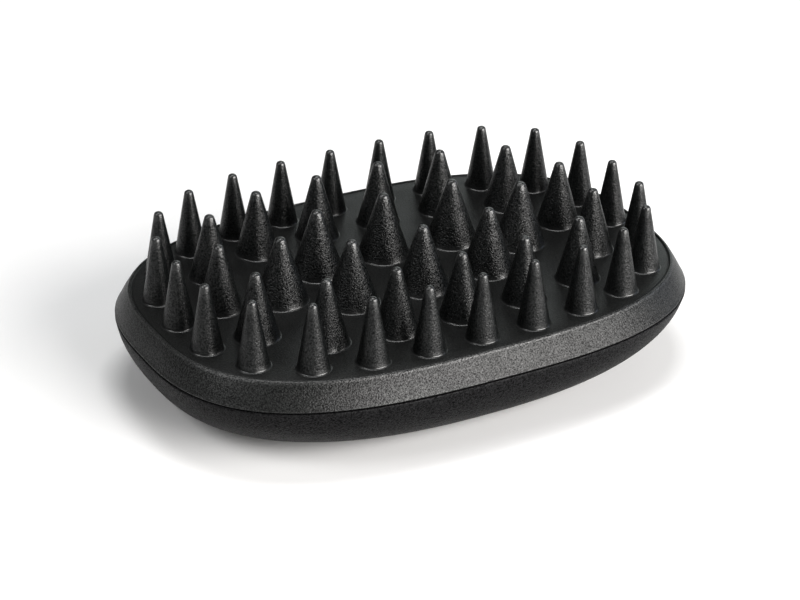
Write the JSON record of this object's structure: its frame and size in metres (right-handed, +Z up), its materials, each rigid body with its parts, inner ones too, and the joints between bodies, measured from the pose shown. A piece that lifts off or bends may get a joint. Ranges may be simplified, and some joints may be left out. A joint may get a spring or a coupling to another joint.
{
  "type": "rubber curry brush",
  "caption": "Palm-sized oval grooming brush with a rounded soft back and rings of tapered rubber fingers standing on a bevelled face.",
  "frame": {"origin": "centre of the flat resting oval under the palm grip", "axes": "+X along the brush's length, +Y across it, +Z up out of the back along the rubber fingers"},
  "size_m": [0.1284, 0.091, 0.0371],
  "materials": {
    "face_rubber": "satin, fine grain",
    "finger_rubber": "satin, pebbled grain",
    "grip_rubber": "fine satin",
    "core_plastic": "moulded, matt",
    "plate_plastic": "moulded, matt",
    "screw_steel": "zinc plated"
  },
  "bodies": {
    "root": {"rubber_face": "face_rubber", "backing_plate": "plate_plastic", "core_shell": "core_plastic", "palm_grip": "grip_rubber", "shell_screws": "screw_steel", "outer_finger_01": "finger_rubber", "outer_finger_02": "finger_rubber", "outer_finger_03": "finger_rubber", "outer_finger_04": "finger_rubber", "outer_finger_05": "finger_rubber", "outer_finger_06": "finger_rubber", "outer_finger_07": "finger_rubber", "outer_finger_08": "finger_rubber", "outer_finger_09": "finger_rubber", "outer_finger_10": "finger_rubber", "outer_finger_11": "finger_rubber", "outer_finger_12": "finger_rubber", "outer_finger_13": "finger_rubber", "outer_finger_14": "finger_rubber", "outer_finger_15": "finger_rubber", "outer_finger_16": "finger_rubber", "outer_finger_17": "finger_rubber", "outer_finger_18": "finger_rubber", "outer_finger_19": "finger_rubber", "outer_finger_20": "finger_rubber", "outer_finger_21": "finger_rubber", "outer_finger_22": "finger_rubber", "outer_finger_23": "finger_rubber", "outer_finger_24": "finger_rubber", "middle_finger_01": "finger_rubber", "middle_finger_02": "finger_rubber", "middle_finger_03": "finger_rubber", "middle_finger_04": "finger_rubber", "middle_finger_05": "finger_rubber", "middle_finger_06": "finger_rubber", "middle_finger_07": "finger_rubber", "middle_finger_08": "finger_rubber", "middle_finger_09": "finger_rubber", "middle_finger_10": "finger_rubber", "middle_finger_11": "finger_rubber", "middle_finger_12": "finger_rubber", "middle_finger_13": "finger_rubber", "middle_finger_14": "finger_rubber", "middle_finger_15": "finger_rubber", "centre_finger_01": "finger_rubber", "centre_finger_02": "finger_rubber", "centre_finger_03": "finger_rubber", "centre_finger_04": "finger_rubber", "centre_finger_05": "finger_rubber", "centre_finger_06": "finger_rubber", "centre_finger_07": "finger_rubber", "centre_finger_08": "finger_rubber"}
  },
  "joints": []
}
